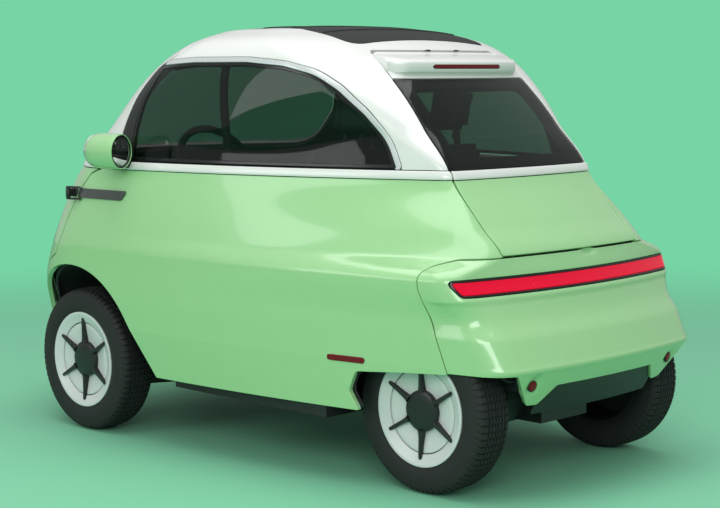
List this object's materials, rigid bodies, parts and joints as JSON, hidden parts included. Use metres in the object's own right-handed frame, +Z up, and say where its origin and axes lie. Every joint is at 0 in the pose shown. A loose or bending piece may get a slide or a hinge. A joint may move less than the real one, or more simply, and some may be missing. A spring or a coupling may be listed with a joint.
{
  "type": "microcar",
  "caption": "Bubble-shaped two-seat microcar with a swinging front door, rear hatch, steered front wheels and inset rear wheels under skirts.",
  "frame": {"origin": "on the ground under the middle of the car's length and width", "axes": "+Z up, front towards -Y, the car's left side towards +X"},
  "size_m": [1.614, 2.5189, 1.5009],
  "materials": {
    "green_paint": "solid pastel green enamel, gloss",
    "white_paint": "white enamel, gloss",
    "dark_plastic": "moulded black plastic, satin",
    "tinted_glass": "tinted safety glass",
    "red_lens": "moulded red acrylic",
    "clear_lens": "clear polycarbonate",
    "mirror_glass": "silvered glass",
    "tyre_rubber": "black tyre rubber",
    "wheel_cover": "light grey lacquer with black spokes",
    "seat_fabric": "dark woven fabric",
    "steel": "dark coated steel"
  },
  "bodies": {
    "chassis": {"belt_strips": "white_paint", "boot_floor": "dark_plastic", "diffuser": "dark_plastic", "drive_unit": "steel", "floor_pan": "steel", "front_housings": "dark_plastic", "front_suspension": "steel", "headrests": "seat_fabric", "lamp_pod_left": "green_paint", "lamp_pod_right": "green_paint", "light_bar": "red_lens", "light_bar_frame": "dark_plastic", "mirror_glasses": "mirror_glass", "nose_panel": "green_paint", "pillar_trims": "dark_plastic", "pod_lenses": "clear_lens", "rear_arms": "steel", "rear_housings": "dark_plastic", "reflectors": "red_lens", "roof": "white_paint", "seat_back": "seat_fabric", "seat_base": "steel", "seat_cushion": "seat_fabric", "side_bars": "dark_plastic", "side_glass_left": "tinted_glass", "side_glass_right": "tinted_glass", "side_panel_left": "green_paint", "side_panel_right": "green_paint", "steering_column": "steel", "sunroof": "dark_plastic", "tail_panel": "green_paint"},
    "front_door": {"door_panel": "green_paint", "door_frame": "white_paint", "windscreen": "tinted_glass", "dashboard": "dark_plastic", "door_hinge": "dark_plastic"},
    "hatch": {"hatch_panel": "green_paint", "hatch_strip": "white_paint", "hatch_frame": "dark_plastic", "rear_glass": "tinted_glass", "spoiler": "white_paint", "brake_lamp": "red_lens"},
    "steering_wheel": {"steering_wheel": "dark_plastic"},
    "knuckle_left": {"knuckle_left": "steel"},
    "knuckle_right": {"knuckle_right": "steel"},
    "front_wheel_left": {"front_tyre_left": "tyre_rubber", "front_rim_left": "wheel_cover"},
    "front_wheel_right": {"front_tyre_right": "tyre_rubber", "front_rim_right": "wheel_cover"},
    "rear_wheel_left": {"rear_tyre_left": "tyre_rubber", "rear_rim_left": "wheel_cover"},
    "rear_wheel_right": {"rear_tyre_right": "tyre_rubber", "rear_rim_right": "wheel_cover"}
  },
  "joints": [
    {"name": "front_door_swing", "type": "hinge", "parent": "chassis", "child": "front_door", "pos_m": [0.724, -0.7, 0.8935], "axis": [0, 0, 1], "range_deg": [0, 80]},
    {"name": "hatch_lift", "type": "hinge", "parent": "chassis", "child": "hatch", "pos_m": [0, 0.5, 1.404], "axis": [1, 0, 0], "range_deg": [0, 70]},
    {"name": "steer_left", "type": "hinge", "parent": "chassis", "child": "knuckle_left", "pos_m": [0.5, -0.686, 0.2665], "axis": [0, 0, 1], "range_deg": [-30, 30]},
    {"name": "steer_right", "type": "hinge", "parent": "chassis", "child": "knuckle_right", "pos_m": [-0.5, -0.686, 0.2665], "axis": [0, 0, 1], "range_deg": [-30, 30]},
    {"name": "steering_wheel_turn", "type": "hinge", "parent": "chassis", "child": "steering_wheel", "pos_m": [0.29, -0.35, 0.98], "axis": [0, 0.848, 0.5299], "range_deg": [-360, 360]},
    {"name": "front_left_spin", "type": "hinge", "parent": "knuckle_left", "child": "front_wheel_left", "pos_m": [0.62, -0.686, 0.2665], "axis": [1, 0, 0], "continuous": true},
    {"name": "front_right_spin", "type": "hinge", "parent": "knuckle_right", "child": "front_wheel_right", "pos_m": [-0.62, -0.686, 0.2665], "axis": [1, 0, 0], "continuous": true},
    {"name": "rear_left_spin", "type": "hinge", "parent": "chassis", "child": "rear_wheel_left", "pos_m": [0.455, 0.88, 0.2665], "axis": [1, 0, 0], "continuous": true},
    {"name": "rear_right_spin", "type": "hinge", "parent": "chassis", "child": "rear_wheel_right", "pos_m": [-0.455, 0.88, 0.2665], "axis": [1, 0, 0], "continuous": true}
  ],
  "couplings": [
    {"joint": "steer_right", "follows": "steer_left", "ratio": 1},
    {"joint": "steering_wheel_turn", "follows": "steer_left", "ratio": 12}
  ]
}
